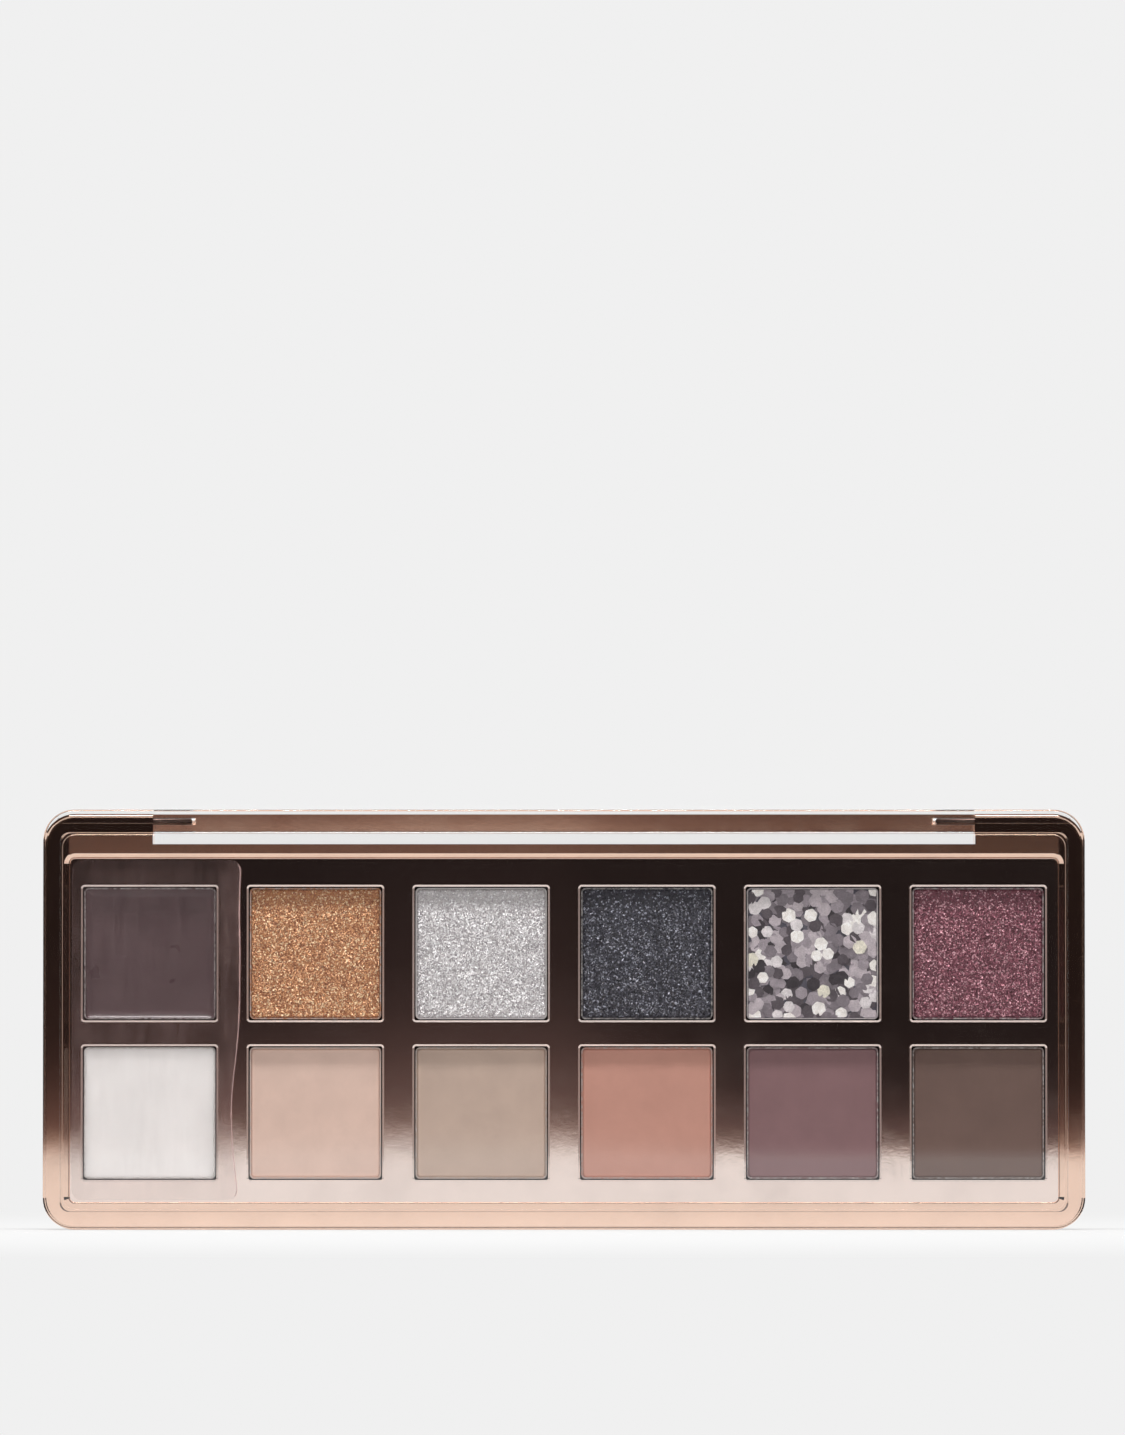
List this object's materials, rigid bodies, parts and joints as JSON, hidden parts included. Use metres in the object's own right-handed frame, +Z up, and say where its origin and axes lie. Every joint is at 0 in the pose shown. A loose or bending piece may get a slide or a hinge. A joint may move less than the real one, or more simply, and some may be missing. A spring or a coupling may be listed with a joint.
{
  "type": "eyeshadow palette",
  "caption": "Slim rose-gold eyeshadow palette with rows of square pressed pans in a mirror-bright platform under a clear lid hinged along one long edge.",
  "frame": {"origin": "on the floor, at the middle of the case's length and thickness", "axes": "+X along the case, to the right as seen from the lid; +Y from the lid to the underside; +Z up, from the front edge that the case stands on to the hinge"},
  "size_m": [0.166, 0.012, 0.0668],
  "materials": {
    "rose_gold": "vacuum metallised rose gold, mirror bright",
    "pan_aluminium": "drawn, bright",
    "hot_melt": "translucent hot melt",
    "pin_steel": "drawn wire",
    "clear_film": "thin clear film",
    "clear_lid": "clear, polished",
    "shade_bottom_1": "satin cream, white",
    "shade_bottom_2": "matte powder, beige pink",
    "shade_bottom_3": "matte powder, taupe beige",
    "shade_bottom_4": "matte powder, salmon",
    "shade_bottom_5": "matte powder, mauve",
    "shade_bottom_6": "matte powder, dark brown",
    "shade_top_1": "satin cream, dark aubergine brown",
    "shade_top_2": "copper gold shimmer powder",
    "shade_top_3": "silver shimmer powder",
    "shade_top_4": "navy charcoal powder with pale sparkle",
    "shade_top_5": "pressed glitter flakes in grey, charcoal and cream",
    "shade_top_6": "plum shimmer powder"
  },
  "bodies": {
    "base": {"base_frame": "rose_gold", "bottom_cover": "rose_gold", "pan_platform": "rose_gold", "pan_bottom_1": "pan_aluminium", "pan_bottom_2": "pan_aluminium", "pan_bottom_3": "pan_aluminium", "pan_bottom_4": "pan_aluminium", "pan_bottom_5": "pan_aluminium", "pan_bottom_6": "pan_aluminium", "pan_top_1": "pan_aluminium", "pan_top_2": "pan_aluminium", "pan_top_3": "pan_aluminium", "pan_top_4": "pan_aluminium", "pan_top_5": "pan_aluminium", "pan_top_6": "pan_aluminium", "shade_bottom_1": "shade_bottom_1", "shade_bottom_2": "shade_bottom_2", "shade_bottom_3": "shade_bottom_3", "shade_bottom_4": "shade_bottom_4", "shade_bottom_5": "shade_bottom_5", "shade_bottom_6": "shade_bottom_6", "shade_top_1": "shade_top_1", "shade_top_2": "shade_top_2", "shade_top_3": "shade_top_3", "shade_top_4": "shade_top_4", "shade_top_5": "shade_top_5", "shade_top_6": "shade_top_6", "pan_glue": "hot_melt", "hinge_pin_left": "pin_steel", "hinge_pin_right": "pin_steel", "cover_film": "clear_film"},
    "lid": {"lid": "clear_lid"}
  },
  "joints": [
    {"name": "lid_hinge", "type": "hinge", "parent": "base", "child": "lid", "pos_m": [0, 0.00045, 0.06505], "axis": [-1, 0, 0], "range_deg": [0, 115]}
  ]
}
